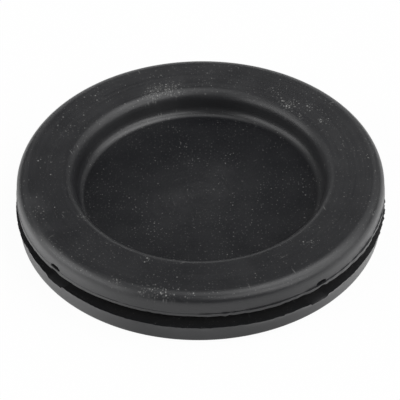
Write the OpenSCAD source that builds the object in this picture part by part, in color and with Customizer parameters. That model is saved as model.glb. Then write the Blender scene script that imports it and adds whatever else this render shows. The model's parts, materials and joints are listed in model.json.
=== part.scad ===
// Blind rubber grommet, moulded in one piece. It closes a round hole in a sheet-metal panel:
// the edge of the hole sits in the groove between two flanges, and a thin web closes the middle.
// Z is the axis, and z = 0 is the flat face of the lower flange, on which the grommet lies.

/* [Panel] */
// Diameter of the hole that the grommet closes, which is the diameter at the bottom of the groove
hole_d = 25; // [16:0.1:60]
// Thickness of the panel, which is the width of the groove
panel_t = 1.5; // [0.8:0.1:4]

/* [Flanges] */
// How far each flange reaches past the edge of the hole
flange_reach = 4.25; // [3:0.05:10]
// Thickness of the upper flange
upper_t = 2.05; // [1.5:0.05:5]
// Thickness of the lower flange
lower_t = 1.8; // [1.25:0.05:5]
// Draft of the upper flange's side, which leans inwards from the groove, in degrees
upper_draft = 3; // [0:0.5:6]
// Draft of the lower flange's side, which leans inwards from the groove, in degrees
lower_draft = 8; // [0:0.5:12]
// Radius of the shoulder round the upper flange
shoulder_r = 1.1; // [0.2:0.05:2]
// Radius of the bottom edge of the lower flange
foot_r = 0.25; // [0.05:0.05:1]

/* [Moulding lip] */
// How far the lip at the mould's parting line stands out from the upper flange
lip_out = 0.12; // [0.04:0.01:0.5]
// Height of the lip
lip_h = 0.2; // [0.1:0.05:0.5]

/* [Web and dishes] */
// Thickness of the web
web_t = 1.2; // [0.6:0.05:2.2]
// How far the middle of the web lies below the middle of the groove
web_drop = 0.25; // [0:0.05:0.7]
// Thickness of the neck, between the groove and the wall of each dish
neck_t = 1.15; // [0.8:0.05:4]
// Radius of the rim at the mouth of each dish
rim_r = 0.95; // [0.1:0.05:1.2]
// Radius of the fillet between a dish's wall and the web
floor_r = 0.8; // [0.1:0.05:1.4]

/* [Hidden] */
$fn = 180;

rubber_colour = [0.19, 0.19, 0.2];

// The shortest straight wall that stays between two roundings
least_land = 0.05;

hole_r = hole_d / 2;
flange_r = hole_r + flange_reach;
dish_r = hole_r - neck_t;

groove_top_z = lower_t + panel_t;
height = groove_top_z + upper_t;
web_middle_z = lower_t + panel_t / 2 - web_drop;
web_top_z = web_middle_z + web_t / 2;
web_bottom_z = web_middle_z - web_t / 2;

lip_top_z = groove_top_z + lip_h;
top_r = flange_r - upper_t * tan(upper_draft);
lip_root_r = flange_r - lip_h * tan(upper_draft);
bottom_r = flange_r - lower_t * tan(lower_draft);

// Each rounding is kept within the wall that it rounds
shoulder = min(shoulder_r, upper_t - lip_h - least_land);
foot = min(foot_r, lower_t - least_land);
upper_floor = min(floor_r, height - web_top_z - rim_r - least_land);
lower_floor = min(floor_r, web_bottom_z - rim_r - least_land);

// Half of the section, from the axis out and back: each corner is [radius, z, rounding]
section_corners = [
    [0, web_bottom_z, 0],
    [dish_r, web_bottom_z, lower_floor],
    [dish_r, 0, rim_r],
    [bottom_r, 0, foot],
    [flange_r, lower_t, 0],
    [hole_r, lower_t, 0],
    [hole_r, groove_top_z, 0],
    [flange_r + lip_out, groove_top_z, 0],
    [flange_r + lip_out, lip_top_z, 0],
    [lip_root_r, lip_top_z, 0],
    [top_r, height, shoulder],
    [dish_r, height, rim_r],
    [dish_r, web_top_z, upper_floor],
    [0, web_top_z, 0]
];

function place(corner) = [corner[0], corner[1]];

function unit(v) = v / norm(v);

// Corner number i of a closed outline, counted round from its start
function nth(corners, i) = corners[(i + len(corners)) % len(corners)];

// The rounding of corner i as [first tangent point, centre of the arc, second tangent point]
function rounding(corners, i) =
    let (corner = nth(corners, i))
    let (back = unit(place(nth(corners, i - 1)) - place(corner)))
    let (ahead = unit(place(nth(corners, i + 1)) - place(corner)))
    let (half_angle = acos(back * ahead) / 2)
    let (reach = corner[2] / tan(half_angle))
    let (to_centre = corner[2] / sin(half_angle))
    [
        place(corner) + reach * back,
        place(corner) + to_centre * unit(back + ahead),
        place(corner) + reach * ahead
    ];

// True where an outline that runs anticlockwise turns left, so the corner points outwards
function points_out(corners, i) =
    let (corner = place(nth(corners, i)))
    let (before = corner - place(nth(corners, i - 1)))
    let (after = place(nth(corners, i + 1)) - corner)
    before[0] * after[1] - before[1] * after[0] > 0;

// The slice of a round bar between the two tangent points of corner i
module arc_slice(corners, i) {
    points = rounding(corners, i);
    intersection() {
        translate(points[1])
            circle(r = corners[i][2]);
        polygon([points[0], place(corners[i]), points[2], points[1]]);
    }
}

// An outline whose corners are rounded by true arcs: each rounded corner is cut back to the
// centre of its arc, and then the arc's slice is added outside or taken away inside
module rounded_outline(corners) {
    last = len(corners) - 1;
    rounded = [for (i = [0 : last]) if (corners[i][2] > 0) i];
    difference() {
        union() {
            polygon([
                for (i = [0 : last])
                    each corners[i][2] > 0 ? rounding(corners, i) : [place(corners[i])]
            ]);
            for (i = rounded)
                if (points_out(corners, i))
                    arc_slice(corners, i);
        }
        for (i = rounded)
            if (!points_out(corners, i))
                arc_slice(corners, i);
    }
}

module grommet() {
    color(rubber_colour)
        rotate_extrude()
            rounded_outline(section_corners);
}

grommet();
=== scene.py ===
import json
import math

import bpy
import numpy as np
from bpy.props import FloatProperty, FloatVectorProperty, IntProperty, PointerProperty
from mathutils import Matrix, Vector


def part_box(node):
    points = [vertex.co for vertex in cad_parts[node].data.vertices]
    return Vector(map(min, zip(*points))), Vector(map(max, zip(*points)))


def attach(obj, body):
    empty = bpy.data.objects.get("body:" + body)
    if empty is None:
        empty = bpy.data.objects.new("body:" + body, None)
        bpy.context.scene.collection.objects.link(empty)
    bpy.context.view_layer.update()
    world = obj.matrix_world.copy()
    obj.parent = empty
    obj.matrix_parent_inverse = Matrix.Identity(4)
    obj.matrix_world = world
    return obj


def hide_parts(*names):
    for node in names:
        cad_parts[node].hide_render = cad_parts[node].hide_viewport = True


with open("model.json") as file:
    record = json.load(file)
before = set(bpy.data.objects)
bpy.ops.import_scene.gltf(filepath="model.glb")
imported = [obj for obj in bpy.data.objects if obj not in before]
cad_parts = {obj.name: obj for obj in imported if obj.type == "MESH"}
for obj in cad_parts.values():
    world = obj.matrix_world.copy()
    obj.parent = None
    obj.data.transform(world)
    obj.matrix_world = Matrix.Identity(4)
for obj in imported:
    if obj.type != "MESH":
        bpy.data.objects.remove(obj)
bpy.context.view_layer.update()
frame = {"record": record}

bl_info = {
    "name": "Blind rubber grommet",
    "version": (1, 0, 0),
    "blender": (4, 5, 0),
    "location": "View3D > Sidebar > Grommet",
    "description": "Builds a moulded rubber closing grommet and the stage it is shown on",
    "category": "Add Mesh",
}

MM = 0.001
NODE = "grommet"
BODY = "root"
IMAGE_PX = 400
SENSOR_MM = 36.0

# The packed solid gives the overall size, and its groove mount gives the panel that it fits
SOLID_LOW, SOLID_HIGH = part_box(NODE)
GROOVE = next(m for m in frame["record"]["mounts"] if m["name"] == "panel_groove")


class GrommetForm(bpy.types.PropertyGroup):
    """Sizes of the moulding, which follow the packed solid"""

    height: FloatProperty(
        name="Height", description="From the lower face to the upper face",
        default=SOLID_HIGH.z, unit="LENGTH")
    lip_r: FloatProperty(
        name="Lip radius", description="Radius over the moulding lip",
        default=SOLID_HIGH.x, unit="LENGTH")
    hole_r: FloatProperty(
        name="Groove radius", description="Radius at the bottom of the groove",
        default=GROOVE["dims"]["r_mm"] * MM, unit="LENGTH")
    panel_t: FloatProperty(
        name="Groove width", description="Thickness of the panel that the groove takes",
        default=GROOVE["dims"]["length_mm"] * MM, unit="LENGTH")
    groove_z: FloatProperty(
        name="Groove height", description="Height of the middle of the groove",
        default=GROOVE["pos_m"][2], unit="LENGTH")
    web_t: FloatProperty(
        name="Web", description="Thickness of the web that closes the middle",
        default=1.2 * MM, unit="LENGTH")
    web_drop: FloatProperty(
        name="Web drop", description="How far the middle of the web lies below the groove's middle",
        default=0.25 * MM, unit="LENGTH")
    neck_t: FloatProperty(
        name="Neck", description="Rubber between the groove and the wall of each dish",
        default=1.15 * MM, unit="LENGTH")
    lip_out: FloatProperty(
        name="Lip", description="How far the lip stands out from the upper flange",
        default=0.12 * MM, unit="LENGTH")
    lip_h: FloatProperty(
        name="Lip height", description="Height of the lip",
        default=0.2 * MM, unit="LENGTH")
    shoulder_r: FloatProperty(
        name="Shoulder", description="Radius of the upper flange's shoulder",
        default=1.1 * MM, unit="LENGTH")
    foot_r: FloatProperty(
        name="Foot", description="Radius of the lower flange's bottom edge",
        default=0.25 * MM, unit="LENGTH")
    rim_r: FloatProperty(
        name="Rim", description="Radius of the rim at the mouth of each dish",
        default=0.95 * MM, unit="LENGTH")
    floor_r: FloatProperty(
        name="Floor fillet", description="Radius between a dish's wall and the web",
        default=0.8 * MM, unit="LENGTH")
    least_land: FloatProperty(
        name="Land", description="Shortest straight wall between two roundings",
        default=0.05 * MM, unit="LENGTH")
    upper_draft: FloatProperty(
        name="Upper draft", description="Inward lean of the upper flange's side",
        default=math.radians(3), subtype="ANGLE")
    lower_draft: FloatProperty(
        name="Lower draft", description="Inward lean of the lower flange's side",
        default=math.radians(8), subtype="ANGLE")
    columns: IntProperty(
        name="Columns", description="Steps of the surface round the axis",
        default=600, min=60)


class GrommetMarks(bpy.types.PropertyGroup):
    """Marks that the mould left on the rubber"""

    split_azimuth: FloatProperty(
        name="Split", description="Azimuth of the first split between the mould's quarters",
        default=math.radians(-51.0), subtype="ANGLE")
    notch_depth: FloatProperty(
        name="Notch depth", description="Depth of the torn notch at a split",
        default=0.50 * MM, unit="LENGTH")
    notch_length: FloatProperty(
        name="Notch length", description="Half the length of a notch along the flange",
        default=0.50 * MM, unit="LENGTH")
    notch_height: FloatProperty(
        name="Notch height", description="Half the height of a notch",
        default=0.30 * MM, unit="LENGTH")
    chip_depth: FloatProperty(
        name="Chip depth", description="Depth of the chip in the lower flange's edge at a split",
        default=0.24 * MM, unit="LENGTH")
    ragged: FloatProperty(
        name="Raggedness", description="Waviness of the trimmed edges",
        default=0.025 * MM, unit="LENGTH")
    flash: FloatProperty(
        name="Flash", description="How far the trimmed flash stands out from the lower flange's edge",
        default=0.015 * MM, unit="LENGTH")
    lip_droop: FloatProperty(
        name="Lip droop", description="How far the lip's free edge hangs below the groove's face",
        default=0.08 * MM, unit="LENGTH")
    lip_flare: FloatProperty(
        name="Flare", description="How far the side flares out where the lip blends into it",
        default=0.09 * MM, unit="LENGTH")
    foot_shift: FloatProperty(
        name="Foot shift", description="Sideways offset of the lower face along X",
        default=-0.075 * MM, unit="LENGTH")
    ring_r: FloatProperty(
        name="Tool ring", description="Radius of the fine turned ring on the upper face",
        default=13.95 * MM, unit="LENGTH")
    ring_depth: FloatProperty(
        name="Ring depth", description="Depth of the fine turned ring",
        default=0.008 * MM, unit="LENGTH")
    ring_half_width: FloatProperty(
        name="Ring width", description="Half the width of the fine turned ring",
        default=0.09 * MM, unit="LENGTH")


class GrommetFinish(bpy.types.PropertyGroup):
    """Colours of the rubber and of the dust on it"""

    rubber: FloatVectorProperty(
        name="Rubber", description="Colour of the clean rubber in the dish",
        default=(0.0060, 0.0064, 0.0082), subtype="COLOR", min=0, max=1)
    # Paler bloom colour. Its weight also lays on painted light, a painted highlight and painted shade.
    bloom_and_light: FloatVectorProperty(
        name="Bloom", description="Colour of the rubber where it has a faint bloom",
        default=(0.0242, 0.0245, 0.0264), subtype="COLOR", min=0, max=1)
    # Painted light: a paler colour painted into the groove, standing in for light that reaches it.
    groove: FloatVectorProperty(
        name="Groove", description="Colour of the dusty rubber in the groove",
        default=(0.0285, 0.0285, 0.0292), subtype="COLOR", min=0, max=1)
    dust: FloatVectorProperty(
        name="Dust", description="Colour of the dust specks",
        default=(0.30, 0.30, 0.29), subtype="COLOR", min=0, max=1)
    roughness: FloatProperty(
        name="Roughness", description="Roughness of the moulded skin",
        default=0.35, min=0, max=1, subtype="FACTOR")
    index: FloatProperty(
        name="Index", description="Refractive index of the filled rubber",
        default=1.57, min=1, max=3)


class GrommetStage(bpy.types.PropertyGroup):
    """Camera and floor"""

    distance: FloatProperty(
        name="Distance", description="From the middle of the upper face to the camera",
        default=0.2997, unit="LENGTH")
    elevation: FloatProperty(
        name="Elevation", description="Height of the camera above the horizon",
        default=math.radians(40.95), subtype="ANGLE")
    roll: FloatProperty(
        name="Roll", description="Turn of the camera about its own axis",
        default=math.radians(-0.72), subtype="ANGLE")
    focal_px: FloatProperty(
        name="Focal length", description="Focal length in pixels of the square image",
        default=3306.0)
    face_x_px: FloatProperty(
        name="Face x", description="Where the middle of the upper face falls in the image",
        default=200.35)
    face_y_px: FloatProperty(
        name="Face y", description="Where the middle of the upper face falls in the image",
        default=172.3)
    floor_colour: FloatVectorProperty(
        name="Floor", description="Colour of the floor",
        default=(0.95, 0.95, 0.95), subtype="COLOR", min=0, max=1)
    floor_glow: FloatProperty(
        name="Floor white", description="Share of the floor that is plain white to the eye",
        default=0.96, min=0, max=1, subtype="FACTOR")
    floor_mirror: FloatProperty(
        name="Mirrored white", description="Share of the floor that is plain white in a reflection",
        default=0.30, min=0, max=1, subtype="FACTOR")
    room: FloatProperty(
        name="Room", description="Brightness of the room round the softboxes",
        default=0.03, min=0, max=1, subtype="FACTOR")


# Softboxes: name, azimuth and elevation in degrees, width and height in metres, radiance
SOFTBOXES = (
    ("top", 270.0, 88.0, 0.60, 0.60, 0.9),
    ("top_right", 0.0, 62.0, 0.60, 0.60, 2.6),
    ("top_left", 180.0, 62.0, 0.60, 0.60, 0.35),
    ("top_back", 50.0, 60.0, 0.50, 0.50, 0.75),
    ("front_high", 300.0, 46.0, 0.60, 0.50, 1.8),
    ("right_front", 325.0, 28.0, 0.50, 0.50, 2.1),
    ("left_front", 215.0, 28.0, 0.50, 0.50, 1.9),
    ("left_front_low", 224.0, 8.0, 0.40, 0.25, 1.2),
    ("left_high", 205.0, 48.0, 0.50, 0.40, 0.65),
    ("right", 0.0, 30.0, 0.50, 0.50, 1.6),
    ("left", 180.0, 30.0, 0.50, 0.50, 1.7),
    ("right_low", 355.0, 9.0, 0.60, 0.30, 0.7),
    ("left_low", 185.0, 9.0, 0.60, 0.30, 1.9),
    ("back_right", 35.0, 32.0, 0.50, 0.50, 0.55),
    ("back_right_middle", 65.0, 36.0, 0.45, 0.45, 0.25),
    ("back_low", 90.0, 14.0, 0.80, 0.25, 1.0),
    ("back_left_middle", 115.0, 36.0, 0.45, 0.45, 0.35),
    ("back_left", 145.0, 32.0, 0.50, 0.50, 0.5),
)
SOFTBOX_DISTANCE = 1.0
FLOOR_HALF = 1.2

# Stretches of the lip: start and end in degrees, and the angle over which each eases
LIP_TRIMMED = (-14.0, 232.0, 10.0)
LIP_THIN = (228.0, 268.0, 8.0)
LIP_HUNG = (185.0, 355.0, 12.0)
LIP_HUNG_MORE = (314.0, 331.0, 5.0)
LIP_FLARED = (196.0, 236.0, 12.0)

# Shares of the lip that are gone where it is trimmed and where it is thin
TRIMMED_SHARE = 0.95
THIN_SHARE = 0.85

# Reach of the flare above the groove, of the flash round its edge, and of the gloss from the dish's wall
FLARE_REACH = 0.6 * MM
FLASH_REACH = 0.2 * MM
WALL_REACH = 0.3 * MM

# A chip in the lower flange's edge, as such a stretch from its split of the mould
CHIP = (-4.0, 2.6, 0.6)
QUARTER = math.radians(89.7)

# Height of a notch's middle above the lip, and how much the lip under it is raised, in droops
NOTCH_RISE = 0.04 * MM
NOTCH_LIFT = 1.6

# Heights closer than this are the same row of the section
SAME_ROW = 0.01 * MM

# Flash left on the lower flange's edge: start and end in degrees, reach in millimetres, raggedness
FLASH_LEFT = (
    (164.0, 199.0, 0.11, 0.2),
    (283.0, 315.0, 0.08, 0.3),
    (-16.0, 4.0, 0.07, 0.8),
)
FLASH_EASE = 4.0

# Dust that lies thicker: azimuth in degrees, radius and spread in millimetres, weight
DUST_PATCHES = (
    (112.5, 12.0, 0.7, 1.0),
    (108.0, 12.5, 0.7, 1.0),
    (102.0, 12.2, 0.8, 1.0),
    (59.0, 13.4, 0.5, 0.6),
    (49.0, 12.5, 0.7, 0.9),
    (40.0, 12.1, 0.3, 0.9),
    (41.5, 13.5, 0.5, 0.6),
    (32.0, 13.3, 0.4, 0.7),
    (208.5, 12.0, 0.35, 0.8),
    (248.0, 12.5, 0.35, 1.0),
    (242.0, 16.1, 0.4, 0.7),
    (252.5, 16.2, 0.5, 0.7),
    (256.0, 16.3, 0.5, 0.75),
    (259.5, 16.3, 0.5, 0.75),
    (266.0, 16.2, 0.3, 0.8),
    (201.0, 15.4, 0.9, 0.2),
    (315.0, 13.8, 0.6, 0.3),
    (340.5, 16.2, 0.25, 1.0),
    (85.0, 14.3, 1.8, 0.05),
    (100.0, 14.3, 1.8, 0.05),
    (128.0, 14.3, 1.8, 0.05),
    (150.0, 14.0, 1.8, 0.04),
    (172.0, 14.0, 1.8, 0.02),
    (188.0, 13.6, 1.6, 0.02),
)

# Smudges of fine dust, given in the same way, and painted light on the dish's floor
HAZE_AND_LIGHT_PATCHES = (
    (112.0, 12.2, 0.9, 0.45),
    (103.0, 12.3, 0.9, 0.45),
    (46.0, 12.8, 1.1, 0.3),
    (193.0, 15.3, 0.9, 0.7),
    (198.0, 14.9, 0.7, 0.6),
    (208.0, 15.4, 0.7, 0.4),
    # Painted light: these bells make the middle and front of the dish's floor lighter than its edges by
    # the walls.
    (210.0, 3.0, 2.6, 0.40),
    (0.0, 0.0, 3.2, 0.45),
    (35.0, 3.4, 2.6, 0.40),
    (270.0, 6.0, 7.0, 0.16),
)

# Stretches of the flanges' sides that handling has polished: start and end in degrees, weight
POLISHED = (
    (196.0, 240.0, 0.85),
    (304.0, 348.0, 0.5),
)
POLISH_EASE = math.radians(30)

# The side that painted light makes lighter, and the stretch of the fillet with a painted highlight
LIT_SIDE_AZIMUTH = math.radians(65.0)
FILLET_HIGHLIGHT = (102.0, 148.0, 16.0)

# Loose dust: cells in each metre, largest speck in cell widths, share of the cells, strength
LOOSE_DUST = (
    (2900.0, 0.20, 0.8, 0.42),
    (1700.0, 0.13, 0.45, 0.75),
    (520.0, 0.055, 0.3, 1.0),
)

# Thick dust where a patch has weight 1, given in the same way
THICK_DUST = (
    (4200.0, 0.48, 1.0, 1.0),
    (2600.0, 0.33, 0.6, 0.9),
    (6500.0, 0.50, 0.8, 0.7),
)

# Lint: directions in degrees, length over width, and its dust
LINT_TURNS = (35.0, -62.0, 108.0)
LINT_STRETCH = 7.0
LINT_DUST = (900.0, 0.06, 0.25, 0.4)


def arc_points(before, corner, after, rounding, steps):
    """Points of the arc that rounds one corner of an outline.

    With half the corner's angle h, the arc of radius q touches both edges q / tan h from the
    corner, and its centre lies q / sin h away on the line that halves the corner. The points turn
    evenly from one tangent direction to the other.
    """
    if rounding <= 0:
        return corner[None]
    back = (before - corner) / np.linalg.norm(before - corner)
    ahead = (after - corner) / np.linalg.norm(after - corner)
    half = math.acos(float(back @ ahead)) / 2
    middle = (back + ahead) / np.linalg.norm(back + ahead)
    centre = corner + middle * rounding / math.sin(half)
    first = (corner + back * rounding / math.tan(half) - centre) / rounding
    last = (corner + ahead * rounding / math.tan(half) - centre) / rounding
    turn = math.pi - 2 * half
    share = np.linspace(0, 1, steps + 1)[:, None]
    swung = (np.sin((1 - share) * turn) * first + np.sin(share * turn) * last) / math.sin(turn)
    return centre + rounding * swung


def section_points(corners):
    """The section as points [radius, z], from the axis under the web to the axis above it.

    Each corner is (radius, z, rounding, steps of its arc, steps of the straight edge after it).
    """
    spots = np.array([c[:2] for c in corners])
    last = len(corners) - 1
    arcs = [
        arc_points(spots[max(i - 1, 0)], spots[i], spots[min(i + 1, last)], corners[i][2], corners[i][3])
        for i in range(last + 1)
    ]
    runs = []
    for i in range(last):
        edge_share = (np.arange(1, corners[i][4]) / corners[i][4])[:, None]
        runs.append(arcs[i])
        runs.append(arcs[i][-1] + edge_share * (arcs[i + 1][0] - arcs[i][-1]))
    runs.append(arcs[last])
    return np.concatenate(runs)


def grommet_corners(form, marks):
    """The corners of half the section, in order from the axis under the web to the axis above it."""
    flange_r = form.lip_r - form.lip_out
    dish_r = form.hole_r - form.neck_t
    lower_t = form.groove_z - form.panel_t / 2
    groove_top = form.groove_z + form.panel_t / 2
    upper_t = form.height - groove_top
    web_top = form.groove_z - form.web_drop + form.web_t / 2
    web_bottom = web_top - form.web_t
    upper_lean = math.tan(form.upper_draft)
    lower_lean = math.tan(form.lower_draft)
    upper_floor = min(form.floor_r, form.height - web_top - form.rim_r - form.least_land)
    lower_floor = min(form.floor_r, web_bottom - form.rim_r - form.least_land)
    ring_out = marks.ring_r + marks.ring_half_width
    ring_in = marks.ring_r - marks.ring_half_width
    return (
        (0.0, web_bottom, 0.0, 0, 4),
        (dish_r, web_bottom, lower_floor, 8, 1),
        (dish_r, 0.0, form.rim_r, 8, 4),
        (flange_r - lower_t * lower_lean, 0.0, form.foot_r, 5, 7),
        (flange_r, lower_t, 0.0, 0, 5),
        (form.hole_r, lower_t, 0.0, 0, 3),
        (form.hole_r, groove_top, 0.0, 0, 5),
        (form.lip_r, groove_top, 0.0, 0, 2),
        (form.lip_r, groove_top + form.lip_h, 0.0, 0, 2),
        (flange_r - form.lip_h * upper_lean, groove_top + form.lip_h, 0.0, 0, 14),
        (flange_r - upper_t * upper_lean, form.height, form.shoulder_r, 18, 8),
        (ring_out, form.height, 0.0, 0, 1),
        (marks.ring_r, form.height - marks.ring_depth, 0.0, 0, 1),
        (ring_in, form.height, 0.0, 0, 10),
        (dish_r, form.height, form.rim_r, 16, 3),
        (dish_r, web_top, upper_floor, 16, 6),
        (0.0, web_top, 0.0, 0, 1),
    )


def window(azimuth, start, end, soft):
    """1 between two azimuths and 0 outside, with edges that ease over the angle soft."""
    middle = (start + end) / 2
    away = np.abs((azimuth - middle + math.pi) % (2 * math.pi) - math.pi)
    share = np.clip(((end - start) / 2 - away) / soft + 0.5, 0, 1)
    return share * share * (3 - 2 * share)


def stretch(azimuth, degrees):
    """The window between two azimuths, given with its ease as three angles in degrees."""
    return window(azimuth, *(math.radians(d) for d in degrees))


def ragged_edge(azimuth, low, high, seed):
    """A sum of cosines round the axis, of wave numbers low to high, with fixed random phases.

    The amplitudes fall with the root of the wave number, and the sum has unit spread.
    """
    draw = np.random.default_rng(seed)
    waves = np.arange(low, high)
    phases = draw.uniform(0, 2 * math.pi, len(waves))
    strengths = draw.uniform(0.3, 1.0, len(waves)) / np.sqrt(waves)
    total = np.cos(azimuth[:, None] * waves + phases) @ strengths
    return total / total.std()


def moulded_surface(form, marks):
    """The grommet's skin as (x, y, z) on a grid of section points by azimuths.

    Each point is (r cos a, r sin a, z) with r and z from the section, changed where the mould left
    a mark: the lip is trimmed away on one side and hangs down on the other, and the edges are
    ragged. At each split of the mould a notch, deep by the root of 1 - s^2 - t^2 along and up the
    side, is torn out above the lip, and a chip is gone from the lower flange's edge.
    """
    section = section_points(grommet_corners(form, marks))
    azimuth = np.arange(form.columns) * 2 * math.pi / form.columns
    radius = np.repeat(section[1:-1, :1], form.columns, axis=1)
    z = np.repeat(section[1:-1, 1:], form.columns, axis=1)
    rest_r, rest_z = radius.copy(), z.copy()

    flange_r = form.lip_r - form.lip_out
    lower_t = form.groove_z - form.panel_t / 2
    groove_top = form.groove_z + form.panel_t / 2
    lip_top = groove_top + form.lip_h

    # The lip is trimmed away round the back and thin on the left, and elsewhere its edge hangs down
    kept = 1 - TRIMMED_SHARE * stretch(azimuth, LIP_TRIMMED)
    kept *= 1 - THIN_SHARE * stretch(azimuth, LIP_THIN)
    kept = np.clip(kept * (0.7 + 0.3 * ragged_edge(azimuth, 6, 150, 3)), 0.03, 1)
    lip_band = (rest_z > groove_top - SAME_ROW) & (rest_z < lip_top + SAME_ROW)
    lip_share = np.where(lip_band, np.clip((rest_r - flange_r) / form.lip_out, 0, 1), 0)
    radius -= lip_share * form.lip_out * (1 - kept)
    lip_under = lip_share * np.clip((lip_top - rest_z) / form.lip_h, 0, 1)
    hung = stretch(azimuth, LIP_HUNG) + stretch(azimuth, LIP_HUNG_MORE)
    z -= lip_under * marks.lip_droop * hung
    z += lip_under * marks.ragged * np.clip(ragged_edge(azimuth, 20, 200, 5), 0, 2)
    side = (rest_r > flange_r - 0.1 * MM) & (rest_z > groove_top - SAME_ROW)
    near_lip = np.clip(1 - (rest_z - groove_top) / FLARE_REACH, 0, 1) ** 2
    radius += np.where(side, marks.lip_flare * stretch(azimuth, LIP_FLARED) * near_lip, 0)

    # Along the lower flange's upper edge the flash is ragged, and stands out where it was left on
    edge_away = np.hypot(rest_r - flange_r, rest_z - lower_t) / FLASH_REACH
    edge_share = np.exp(-edge_away ** 2)
    ragged = ragged_edge(azimuth, 12, 220, 11)
    flash = marks.flash + marks.ragged * 0.6 * ragged
    for first, last, reach, rough in FLASH_LEFT:
        left_on = stretch(azimuth, (first, last, FLASH_EASE))
        flash += reach * MM * left_on * (1 - rough + rough * np.clip(ragged, 0, 1.2))
    radius += edge_share * flash
    z -= edge_share * marks.ragged * np.clip(ragged_edge(azimuth, 20, 220, 13), 0, 2)

    # A notch and a chip at each split of the mould
    on_side = np.abs(rest_r - flange_r + 0.25 * MM) < 0.26 * MM
    above_lip = on_side & (rest_z > lip_top - SAME_ROW)
    for quarter in range(4):
        split = marks.split_azimuth - quarter * QUARTER
        away = (azimuth - split + math.pi) % (2 * math.pi) - math.pi
        along = away * flange_r / marks.notch_length
        up = (rest_z - lip_top - NOTCH_RISE) / marks.notch_height
        pocket = np.clip(1 - along ** 2 - up ** 2, 0, 1) ** 0.5
        radius -= np.where(above_lip, marks.notch_depth * pocket, 0)
        z += lip_under * NOTCH_LIFT * marks.lip_droop * np.clip(1 - along ** 2, 0, 1)
        z -= edge_share * marks.chip_depth * stretch(away, CHIP)

    # The lower flange leans a little to one side, most at its lower face
    x = radius * np.cos(azimuth) + marks.foot_shift * np.clip(1 - rest_z / lower_t, 0, 1)
    y = radius * np.sin(azimuth)
    inside = np.minimum(1, form.lip_r / np.hypot(x, y))
    rings = np.stack([x * inside, y * inside, z], axis=-1)
    low_shift = marks.foot_shift * max(0, 1 - section[0, 1] / lower_t)
    poles = np.array([[low_shift, 0, section[0, 1]], [0, 0, section[-1, 1]]])
    return rings, poles


def closed_mesh(name, rings, poles):
    """A mesh of rings joined by quads, with a fan of triangles from each end to its pole."""
    rows, columns = rings.shape[:2]
    here = np.arange(columns)
    there = (here + 1) % columns
    first_row = (np.arange(rows - 1) * columns)[:, None]
    quads = np.stack(
        [first_row + here, first_row + there, first_row + columns + there, first_row + columns + here],
        axis=-1).reshape(-1, 4)
    low_pole, high_pole = rows * columns, rows * columns + 1
    top_row = (rows - 1) * columns
    low_fan = np.stack([np.full(columns, low_pole), there, here], axis=-1)
    high_fan = np.stack([np.full(columns, high_pole), top_row + here, top_row + there], axis=-1)
    fans = np.concatenate([low_fan, high_fan])
    corners = np.concatenate([quads.ravel(), fans.ravel()]).astype(np.int32)
    quad_starts = np.arange(len(quads)) * 4
    fan_starts = len(quads) * 4 + np.arange(len(fans)) * 3
    starts = np.concatenate([quad_starts, fan_starts]).astype(np.int32)
    points = np.concatenate([rings.reshape(-1, 3), poles]).astype(np.float32)

    mesh = bpy.data.meshes.new(name)
    mesh.vertices.add(len(points))
    mesh.vertices.foreach_set("co", points.ravel())
    mesh.loops.add(len(corners))
    mesh.loops.foreach_set("vertex_index", corners)
    mesh.polygons.add(len(starts))
    mesh.polygons.foreach_set("loop_start", starts)
    mesh.update(calc_edges=True)
    mesh.validate()
    mesh.shade_smooth()
    mesh.set_sharp_from_angle(angle=math.radians(40))
    return mesh


def patch_weights(points, patches):
    """A sum of bells exp(-d^2 / s^2), where d is the distance to a patch and s is its spread."""
    weights = np.zeros(len(points))
    for azimuth, radius, spread, weight in patches:
        turn = math.radians(azimuth)
        centre = np.array([radius * math.cos(turn), radius * math.sin(turn)]) * MM
        away = np.linalg.norm(points[:, :2] - centre, axis=1) / (spread * MM)
        weights += weight * np.exp(-away ** 2)
    return weights


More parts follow.
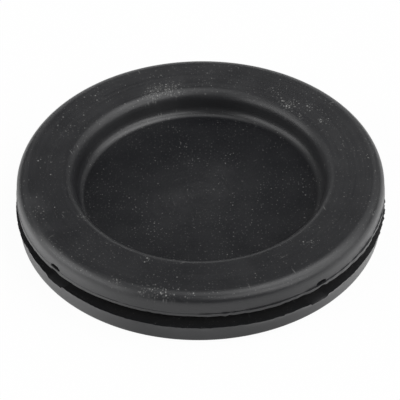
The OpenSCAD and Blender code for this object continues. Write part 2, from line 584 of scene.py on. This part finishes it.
def surface_weights(rings, poles, form):
    """How strong each effect of the finish is at each vertex.

    The bloom eases in over the fillet at the foot of the dish's wall. Painted light makes it lighter
    towards the back-right side and darker towards the front-left, a painted highlight adds to it on
    the fillet at the back-left, and painted shade takes it off the fillet at the left and right sides.
    With u the distance from that wall over its reach, |u| exp(1/2 - u^2 / 2) peaks on the rim and on
    the fillet: the rim is more matt, and the fillet glossier behind and rougher at the right side. Polish
    lies on the flanges' outer sides, painted light in the groove, dust patches and haze on the upper
    face, and painted light on the dish's floor, which is lighter in its middle and front.
    """
    points = np.concatenate([rings.reshape(-1, 3), poles])
    radius, z = np.hypot(points[:, 0], points[:, 1]), points[:, 2]
    upper = z > form.groove_z
    dish_r = form.hole_r - form.neck_t
    up_wall = np.clip((radius - dish_r + form.floor_r) / form.floor_r, 0, 1)
    # Painted light: the bloom is lighter towards the back-right side and darker towards the front-left.
    towards = math.cos(LIT_SIDE_AZIMUTH) * points[:, 0] + math.sin(LIT_SIDE_AZIMUTH) * points[:, 1]
    lit_side = np.clip(2.5 * towards / np.maximum(radius, MM), -1, 1)
    from_wall = (radius - dish_r) / WALL_REACH
    near_wall = np.abs(from_wall) * np.exp(0.5 - from_wall ** 2 / 2)
    foot = np.where(from_wall < 0, near_wall, 0)
    azimuth = np.arctan2(points[:, 1], points[:, 0])
    across = points[:, 0] / np.maximum(radius, MM)
    behind = np.clip(points[:, 1] / np.maximum(radius, MM), 0, 1)
    # Painted shade: less bloom on the fillet at the left and right sides; on the right the fillet is also
    # rougher.
    side_fillet = foot * across ** 8
    lower_t = form.groove_z - form.panel_t / 2
    outer = radius > form.lip_r - form.lip_out - form.shoulder_r
    polish = np.zeros(len(points))
    for start, end, weight in POLISHED:
        polish += weight * window(azimuth, math.radians(start), math.radians(end), POLISH_EASE)
    below = np.clip((form.height - z) / (0.8 * form.shoulder_r), 0, 1)
    in_groove = (np.abs(z - form.groove_z) < form.panel_t * 0.51) & (radius < form.lip_r - 0.2 * MM)
    bloom_and_light = up_wall * up_wall * (3 - 2 * up_wall) * (0.72 + 0.28 * lit_side)
    return {
        "dust_patch": np.where(upper, patch_weights(points, DUST_PATCHES), 0),
        "haze_and_light": np.where(upper, patch_weights(points, HAZE_AND_LIGHT_PATCHES), 0),
        # Painted highlight: more bloom on the fillet at the back-left.
        "bloom_and_light": bloom_and_light * (1 - 0.8 * side_fillet) + 1.2 * foot * stretch(azimuth, FILLET_HIGHLIGHT),
        "polish": np.where(outer, polish * below, 0),
        "matt": near_wall - foot * (1 + behind) + 3 * np.where(across > 0, side_fillet, 0),
        # Painted light in the groove
        "groove_light": np.where(in_groove & (radius > dish_r) & (z > lower_t - SAME_ROW), 1.0, 0.0),
    }


class NodeSketch:
    """Adds nodes to a tree. An input given as a socket is linked, and any other is set."""

    def __init__(self, tree):
        self.tree = tree

    def add(self, kind, inputs=None, **settings):
        node = self.tree.nodes.new(kind)
        for name, value in settings.items():
            setattr(node, name, value)
        self.fill(node, inputs or {})
        return node

    def fill(self, node, inputs):
        for name, value in inputs.items():
            if isinstance(value, bpy.types.NodeSocket):
                self.tree.links.new(value, node.inputs[name])
            else:
                node.inputs[name].default_value = value

    def math(self, operation, first, second=0.0, clamp=False):
        node = self.add("ShaderNodeMath", {0: first, 1: second}, operation=operation, use_clamp=clamp)
        return node.outputs[0]

    def span(self, value, from_min, from_max, to_min, to_max):
        node = self.add("ShaderNodeMapRange", {
            "Value": value,
            "From Min": from_min,
            "From Max": from_max,
            "To Min": to_min,
            "To Max": to_max,
        })
        return node.outputs["Result"]

    def mix(self, share, first, second, clamp=True):
        node = self.add("ShaderNodeMix", data_type="RGBA", clamp_factor=clamp)
        self.fill(node, {0: share, 6: first, 7: second})
        return node.outputs[2]


def dust_group():
    """Node group: a mask of soft specks, one in some of the cells of a flat cell pattern.

    A cell's own random number gives its speck's size, up to Largest in cell widths, and cells
    whose number is under 1 - Share have none. Another random number, squared so that few specks
    are bright, gives the speck's strength.
    """
    group = bpy.data.node_groups.new("dust_specks", "ShaderNodeTree")
    sockets = (("Vector", "NodeSocketVector"), ("Cells", "NodeSocketFloat"),
               ("Largest", "NodeSocketFloat"), ("Share", "NodeSocketFloat"))
    for name, kind in sockets:
        group.interface.new_socket(name, in_out="INPUT", socket_type=kind)
    group.interface.new_socket("Mask", in_out="OUTPUT", socket_type="NodeSocketFloat")
    sketch = NodeSketch(group)
    given = sketch.add("NodeGroupInput").outputs
    cells = sketch.add(
        "ShaderNodeTexVoronoi", {"Vector": given["Vector"], "Scale": given["Cells"]},
        voronoi_dimensions="2D", feature="F1")
    draws = sketch.add("ShaderNodeSeparateColor", {0: cells.outputs["Color"]}).outputs
    empty_share = sketch.math("SUBTRACT", 1.0, given["Share"])
    least = sketch.math("MULTIPLY", given["Largest"], 0.4)
    size = sketch.span(draws[0], empty_share, 1.0, least, given["Largest"])
    there = sketch.math("GREATER_THAN", draws[0], empty_share)
    core = sketch.math("MULTIPLY", size, 0.2)
    speck = sketch.span(cells.outputs["Distance"], size, core, 0.0, 1.0)
    strength = sketch.span(sketch.math("POWER", draws[1], 2.0), 0.0, 1.0, 0.12, 1.0)
    mask = sketch.math("MULTIPLY", sketch.math("MULTIPLY", speck, there), strength)
    sketch.add("NodeGroupOutput", {"Mask": mask})
    return group


def rubber_material(finish):
    """Black moulded rubber with a faint bloom on the flanges, fine dust, lint and a fine grain.

    Dust settles on the faces that look up. Lint is dust drawn out along a few directions. The bloom
    is streaked along the way the mould was turned, by a noise on the direction from the axis and,
    much finer, on the radius. The bloom's weight also carries painted light, a painted highlight
    and painted shade, and the groove is painted paler as painted light. Polished stretches have a
    thin coat.
    """
    material = bpy.data.materials.new("moulded_rubber")
    material.use_nodes = True
    tree = material.node_tree
    tree.nodes.clear()
    sketch = NodeSketch(tree)
    spot = sketch.add("ShaderNodeTexCoord").outputs
    place = spot["Object"]
    specks = dust_group()

    def weight(name):
        return sketch.add("ShaderNodeAttribute", attribute_name=name).outputs["Fac"]

    def dust(cells, largest, share, strength, vector=place):
        node = sketch.add("ShaderNodeGroup", node_tree=specks)
        sketch.fill(node, {"Vector": vector, "Cells": cells, "Largest": largest, "Share": share})
        return sketch.math("MULTIPLY", node.outputs["Mask"], strength)

    def lint(turn):
        laid = sketch.add(
            "ShaderNodeMapping",
            {"Vector": place, "Rotation": (0, 0, math.radians(turn)), "Scale": (LINT_STRETCH, 1, 1)},
            vector_type="TEXTURE")
        return dust(*LINT_DUST, laid.outputs["Vector"])

    looks_up = sketch.add("ShaderNodeSeparateXYZ", {0: spot["Normal"]}).outputs["Z"]
    level = sketch.span(looks_up, 0.1, 0.8, 0.0, 1.0)
    loose = 0.0
    for layer in LOOSE_DUST:
        loose = sketch.math("ADD", loose, dust(*layer))
    clumps = sketch.add("ShaderNodeTexNoise", {"Vector": place, "Scale": 300.0, "Detail": 3.0})
    loose = sketch.math("MULTIPLY", loose, sketch.span(clumps.outputs["Fac"], 0.36, 0.66, 0.3, 1.6))
    for turn in LINT_TURNS:
        loose = sketch.math("ADD", loose, lint(turn))
    piled = weight("dust_patch")
    thick = 0.0
    for cells, largest, share, strength in THICK_DUST:
        share = sketch.math("MULTIPLY", piled, share, clamp=True)
        thick = sketch.math("ADD", thick, dust(cells, largest, share, strength))
    dusty = sketch.math("MULTIPLY", sketch.math("ADD", loose, thick, clamp=True), level)

    plan = sketch.add("ShaderNodeVectorMath", {0: place, 1: (1, 1, 0)}, operation="MULTIPLY")
    radius = sketch.add("ShaderNodeVectorMath", {0: plan.outputs[0]}, operation="LENGTH").outputs["Value"]
    outward = sketch.add("ShaderNodeVectorMath", {0: plan.outputs[0]}, operation="NORMALIZE")
    by_radius = sketch.add("ShaderNodeCombineXYZ", {"Z": sketch.math("MULTIPLY", radius, 2200.0)})
    turned = sketch.add(
        "ShaderNodeVectorMath", {0: outward.outputs[0], 1: by_radius.outputs[0]}, operation="ADD")
    streaks = sketch.add("ShaderNodeTexNoise", {"Vector": turned.outputs[0], "Scale": 1.6, "Detail": 3.0})
    clouds = sketch.add("ShaderNodeTexNoise", {"Vector": place, "Scale": 190.0, "Detail": 5.0})
    mottle = sketch.math("ADD", clouds.outputs["Fac"], streaks.outputs["Fac"])
    mottle = sketch.span(mottle, 0.7, 1.3, 0.6, 1.4)
    # The weight holds the bloom together with painted light: lighter towards the back-right, a painted
    # highlight on the fillet behind, painted shade on the fillet's sides, and a lighter middle of the
    # dish's floor. The mix is unclamped so that the painted highlight can go past the bloom's colour.
    bloom_and_light = sketch.math("MULTIPLY", weight("bloom_and_light"), mottle)
    bloom_and_light = sketch.math("ADD", bloom_and_light, sketch.math("MULTIPLY", weight("haze_and_light"), mottle))
    skin = sketch.mix(bloom_and_light, (*finish.rubber, 1.0), (*finish.bloom_and_light, 1.0), clamp=False)
    # Painted light: the groove is painted paler, standing in for light that reaches it.
    skin = sketch.mix(weight("groove_light"), skin, (*finish.groove, 1.0))
    colour = sketch.mix(dusty, skin, (*finish.dust, 1.0))

    wear = sketch.add("ShaderNodeTexNoise", {"Vector": place, "Scale": 420.0, "Detail": 6.0})
    rough = sketch.span(
        wear.outputs["Fac"], 0.3, 0.7, finish.roughness - 0.04, finish.roughness + 0.04)
    rough = sketch.math("ADD", rough, sketch.math("MULTIPLY", weight("matt"), 0.06))
    rough = sketch.math("ADD", rough, sketch.math("MULTIPLY", dusty, 0.3), clamp=True)

    grain = sketch.add("ShaderNodeTexNoise", {"Vector": place, "Scale": 7000.0, "Detail": 3.0})
    bump = sketch.add(
        "ShaderNodeBump",
        {"Strength": 0.15, "Distance": 0.02 * MM, "Height": grain.outputs["Fac"]})
    shader = sketch.add(
        "ShaderNodeBsdfPrincipled",
        {"Base Color": colour, "Roughness": rough, "IOR": finish.index, "Normal": bump.outputs["Normal"],
         "Coat Weight": weight("polish"), "Coat Roughness": finish.roughness})
    sketch.add("ShaderNodeOutputMaterial", {"Surface": shader.outputs["BSDF"]})
    return material


def floor_material(stage):
    """A pale floor that looks white to the eye and in reflections, and still takes a shadow."""
    material = bpy.data.materials.new("floor_white")
    material.use_nodes = True
    tree = material.node_tree
    tree.nodes.clear()
    sketch = NodeSketch(tree)
    rays = sketch.add("ShaderNodeLightPath").outputs
    seen = sketch.math("MULTIPLY", rays["Is Camera Ray"], stage.floor_glow)
    mirrored = sketch.math("MAXIMUM", rays["Is Glossy Ray"], rays["Is Transmission Ray"])
    glow = sketch.math("MAXIMUM", seen, sketch.math("MULTIPLY", mirrored, stage.floor_mirror))
    paint = sketch.add("ShaderNodeBsdfDiffuse", {"Color": (*stage.floor_colour, 1.0)})
    white = sketch.add("ShaderNodeEmission", {"Color": (1.0, 1.0, 1.0, 1.0), "Strength": 1.0})
    both = sketch.add(
        "ShaderNodeMixShader", {0: glow, 1: paint.outputs["BSDF"], 2: white.outputs["Emission"]})
    sketch.add("ShaderNodeOutputMaterial", {"Surface": both.outputs["Shader"]})
    return material


def studio_world(stage):
    """A dim grey room round the softboxes."""
    world = bpy.data.worlds.new("studio")
    world.use_nodes = True
    tree = world.node_tree
    tree.nodes.clear()
    sketch = NodeSketch(tree)
    room = sketch.add("ShaderNodeBackground", {"Color": (1.0, 1.0, 1.0, 1.0), "Strength": stage.room})
    sketch.add("ShaderNodeOutputWorld", {"Surface": room.outputs["Background"]})
    return world


def add_softbox(name, azimuth, elevation, width, height, radiance, target):
    """A flat lamp that faces the target. Its power is pi times its area times its radiance."""
    turn, rise = math.radians(azimuth), math.radians(elevation)
    away = Vector((math.cos(turn) * math.cos(rise), math.sin(turn) * math.cos(rise), math.sin(rise)))
    lamp = bpy.data.lights.new(name, "AREA")
    lamp.shape = "RECTANGLE"
    lamp.size, lamp.size_y = width, height
    lamp.energy = math.pi * width * height * radiance
    obj = bpy.data.objects.new(name, lamp)
    obj.location = target + SOFTBOX_DISTANCE * away
    obj.rotation_mode = "QUATERNION"
    obj.rotation_quaternion = away.to_track_quat("Z", "Y")
    obj.visible_camera = False
    bpy.context.scene.collection.objects.link(obj)
    return obj


def aim_camera(stage, target):
    """A camera whose image of the target falls on the pixel that the stage asks for.

    The camera stands off along its elevation. Its view axis is then turned away from the target
    by the angle between the image's centre and that pixel, and the camera rolls about that axis.
    """
    rise = stage.elevation
    back = Vector((0, -math.cos(rise), math.sin(rise)))
    right = Vector((1, 0, 0))
    up = back.cross(right)
    roll = Matrix.Rotation(stage.roll, 3, back)
    right, up = roll @ right, roll @ up
    aside = (stage.face_x_px - IMAGE_PX / 2) / stage.focal_px
    above = (IMAGE_PX / 2 - stage.face_y_px) / stage.focal_px
    axis = (back + aside * right + above * up).normalized()
    right = (right - right.dot(axis) * axis).normalized()
    up = axis.cross(right)

    lens = bpy.data.cameras.new("camera")
    lens.sensor_width = SENSOR_MM
    lens.lens = stage.focal_px * SENSOR_MM / IMAGE_PX
    lens.clip_start, lens.clip_end = 0.01, 10.0
    camera = bpy.data.objects.new("camera", lens)
    place = target + stage.distance * back
    camera.matrix_world = Matrix((
        (right.x, up.x, axis.x, place.x),
        (right.y, up.y, axis.y, place.y),
        (right.z, up.z, axis.z, place.z),
        (0, 0, 0, 1)))
    bpy.context.scene.collection.objects.link(camera)
    bpy.context.scene.camera = camera
    return camera


class GROMMET_OT_body(bpy.types.Operator):
    """Builds the moulded rubber body in place of the packed solid"""

    bl_idname = "grommet.body"
    bl_label = "Rubber body"

    def execute(self, context):
        form = context.scene.grommet_form
        rings, poles = moulded_surface(form, context.scene.grommet_marks)
        mesh = closed_mesh("rubber_body", rings, poles)
        for name, weights in surface_weights(rings, poles, form).items():
            attribute = mesh.attributes.new(name, "FLOAT", "POINT")
            attribute.data.foreach_set("value", weights.astype(np.float32))
        mesh.materials.append(rubber_material(context.scene.grommet_finish))
        body = bpy.data.objects.new("rubber_body", mesh)
        context.scene.collection.objects.link(body)
        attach(body, BODY)
        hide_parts(NODE)
        return {"FINISHED"}


class GROMMET_OT_stage(bpy.types.Operator):
    """Builds the floor, the studio light and the camera"""

    bl_idname = "grommet.stage"
    bl_label = "Stage"

    def execute(self, context):
        scene = context.scene
        stage = scene.grommet_stage
        side = FLOOR_HALF
        mesh = bpy.data.meshes.new("floor")
        mesh.from_pydata(
            [(-side, -side, 0), (side, -side, 0), (side, side, 0), (-side, side, 0)], [], [(0, 1, 2, 3)])
        mesh.materials.append(floor_material(stage))
        floor = bpy.data.objects.new("floor", mesh)
        scene.collection.objects.link(floor)
        target = Vector((0, 0, scene.grommet_form.height))
        for softbox in SOFTBOXES:
            add_softbox(*softbox, target)
        scene.world = studio_world(stage)
        aim_camera(stage, target)
        scene.view_settings.view_transform = "Standard"
        return {"FINISHED"}


class GROMMET_PT_panel(bpy.types.Panel):
    """Lists the steps and the sizes of the grommet"""

    bl_idname = "GROMMET_PT_panel"
    bl_label = "Grommet"
    bl_space_type = "VIEW_3D"
    bl_region_type = "UI"
    bl_category = "Grommet"

    def draw(self, context):
        for operator in OPERATORS:
            self.layout.operator(operator.bl_idname)
        for group in GROUPS:
            settings = getattr(context.scene, GROUPS[group])
            box = self.layout.box()
            box.label(text=group.__doc__)
            for name in group.__annotations__:
                box.prop(settings, name)


GROUPS = {
    GrommetForm: "grommet_form",
    GrommetMarks: "grommet_marks",
    GrommetFinish: "grommet_finish",
    GrommetStage: "grommet_stage",
}
OPERATORS = (GROMMET_OT_body, GROMMET_OT_stage)
CLASSES = (*GROUPS, *OPERATORS, GROMMET_PT_panel)


def register():
    for cls in CLASSES:
        bpy.utils.register_class(cls)
    for group, name in GROUPS.items():
        setattr(bpy.types.Scene, name, PointerProperty(type=group))


def unregister():
    for name in GROUPS.values():
        delattr(bpy.types.Scene, name)
    for cls in reversed(CLASSES):
        bpy.utils.unregister_class(cls)


def main():
    register()
    bpy.ops.grommet.body()
    bpy.ops.grommet.stage()


if __name__ == "__main__":
    main()
